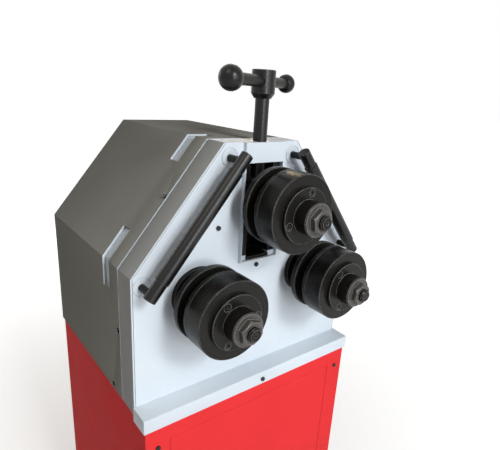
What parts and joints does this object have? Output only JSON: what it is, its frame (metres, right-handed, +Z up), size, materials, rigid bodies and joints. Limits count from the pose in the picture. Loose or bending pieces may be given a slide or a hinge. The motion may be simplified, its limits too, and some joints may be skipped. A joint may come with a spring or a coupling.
{
  "type": "angle roll bender",
  "caption": "Floor-standing motor-driven section bender: grooved forming rollers on a plate, a hand feed screw with T-handle, slanted guide bars, hood and cabinet.",
  "frame": {"origin": "centre of the floor bolt holes, on the floor", "axes": "+Z up, -Y towards the operator (the rollers' side), +X to the right of someone who faces the rollers"},
  "size_m": [0.6065, 0.5781, 1.1975],
  "materials": {
    "red_paint": "semi-gloss powder coat",
    "light_paint": "smooth satin paint",
    "cover_paint": "fine-textured satin paint",
    "frame_paint": "matt black paint",
    "blackened_steel": "turned, blackened and oiled",
    "bright_steel": "ground steel",
    "bronze": "machined bronze",
    "motor_paint": "painted casting",
    "knob_plastic": "polished black phenolic",
    "switch_plastic": "fine-grained black plastic",
    "stop_red": "glossy red plastic"
  },
  "bodies": {
    "root": {"base_frame": "frame_paint", "stand_shell": "red_paint", "carrier_plate": "frame_paint", "service_panel": "red_paint", "door_hinges": "bright_steel", "front_step": "light_paint", "front_plate": "light_paint", "side_bands": "cover_paint", "gear_case": "light_paint", "rear_plate": "light_paint", "hood": "cover_paint", "slide_channel": "light_paint", "guide_rails": "blackened_steel", "nut_bridge": "light_paint", "feed_nut": "bronze", "guide_posts": "blackened_steel", "guide_rods": "blackened_steel", "bearing_caps": "blackened_steel", "bearings": "bright_steel", "reducer": "motor_paint", "motor": "motor_paint", "control_box": "cover_paint", "fasteners": "blackened_steel"},
    "stand_door": {"stand_door": "red_paint"},
    "door_latch": {"door_latch": "switch_plastic"},
    "slider": {"slide_block": "blackened_steel", "slide_caps": "bright_steel", "upper_bush": "bronze"},
    "screw": {"feed_screw": "blackened_steel", "screw_hub": "blackened_steel", "handle_bar": "blackened_steel", "ball_knobs": "knob_plastic"},
    "upper_roller": {"upper_shaft": "blackened_steel", "upper_discs": "blackened_steel", "upper_spacer": "blackened_steel", "upper_wheel": "blackened_steel", "upper_clamp_hub": "blackened_steel", "upper_hub_screws": "blackened_steel", "upper_nut": "blackened_steel"},
    "left_roller": {"left_shaft": "blackened_steel", "left_discs": "blackened_steel", "left_spacer": "blackened_steel", "left_wheel": "blackened_steel", "left_clamp_hub": "blackened_steel", "left_hub_screws": "blackened_steel", "left_nut": "blackened_steel", "left_gear": "bright_steel"},
    "right_roller": {"right_shaft": "blackened_steel", "right_discs": "blackened_steel", "right_spacer": "blackened_steel", "right_wheel": "blackened_steel", "right_clamp_hub": "blackened_steel", "right_hub_screws": "blackened_steel", "right_nut": "blackened_steel", "right_gear": "bright_steel"},
    "drive_pinion": {"drive_pinion": "bright_steel"},
    "left_guide_sleeve": {"left_guide_sleeve": "blackened_steel"},
    "right_guide_sleeve": {"right_guide_sleeve": "blackened_steel"},
    "direction_switch": {"direction_switch": "switch_plastic"},
    "stop_button": {"stop_button": "stop_red"}
  },
  "joints": [
    {"name": "door_swing", "type": "hinge", "parent": "root", "child": "stand_door", "pos_m": [-0.2055, 0.2213, 0.315], "axis": [0, 0, 1], "range_deg": [0, 110]},
    {"name": "latch_turn", "type": "hinge", "parent": "stand_door", "child": "door_latch", "pos_m": [0.1595, 0.215, 0.315], "axis": [0, 1, 0], "range_deg": [-90, 0]},
    {"name": "carriage_slide", "type": "slide", "parent": "root", "child": "slider", "axis": [0, 0, 1], "range_m": [-0.0651, 0.0201]},
    {"name": "screw_turn", "type": "hinge", "parent": "slider", "child": "screw", "pos_m": [0, -0.1658, 1.1795], "axis": [0, 0, 1], "range_deg": [-4680, 1440]},
    {"name": "upper_roller_turn", "type": "hinge", "parent": "slider", "child": "upper_roller", "pos_m": [0, -0.2703, 0.982], "axis": [0, 1, 0], "continuous": true},
    {"name": "left_roller_turn", "type": "hinge", "parent": "root", "child": "left_roller", "pos_m": [-0.124, -0.2703, 0.83], "axis": [0, 1, 0], "continuous": true},
    {"name": "right_roller_turn", "type": "hinge", "parent": "root", "child": "right_roller", "pos_m": [0.124, -0.2703, 0.83], "axis": [0, 1, 0], "continuous": true},
    {"name": "pinion_turn", "type": "hinge", "parent": "root", "child": "drive_pinion", "pos_m": [0, -0.1003, 0.78475], "axis": [0, 1, 0], "continuous": true},
    {"name": "left_sleeve_turn", "type": "hinge", "parent": "root", "child": "left_guide_sleeve", "pos_m": [-0.14564, -0.2133, 0.96384], "axis": [-0.6285, 0, -0.7778], "continuous": true},
    {"name": "right_sleeve_turn", "type": "hinge", "parent": "root", "child": "right_guide_sleeve", "pos_m": [0.14564, -0.2133, 0.96384], "axis": [0.6285, 0, -0.7778], "continuous": true},
    {"name": "switch_turn", "type": "hinge", "parent": "root", "child": "direction_switch", "pos_m": [0.3015, 0.0477, 0.736], "axis": [1, 0, 0], "range_deg": [-45, 45]},
    {"name": "stop_press", "type": "slide", "parent": "root", "child": "stop_button", "axis": [-1, 0, 0], "range_m": [0, 0.004]}
  ],
  "couplings": [
    {"joint": "carriage_slide", "follows": "screw_turn", "m_per_rad": 0.00079577},
    {"joint": "pinion_turn", "follows": "left_roller_turn", "ratio": -2.6667},
    {"joint": "right_roller_turn", "follows": "left_roller_turn", "ratio": 1}
  ]
}
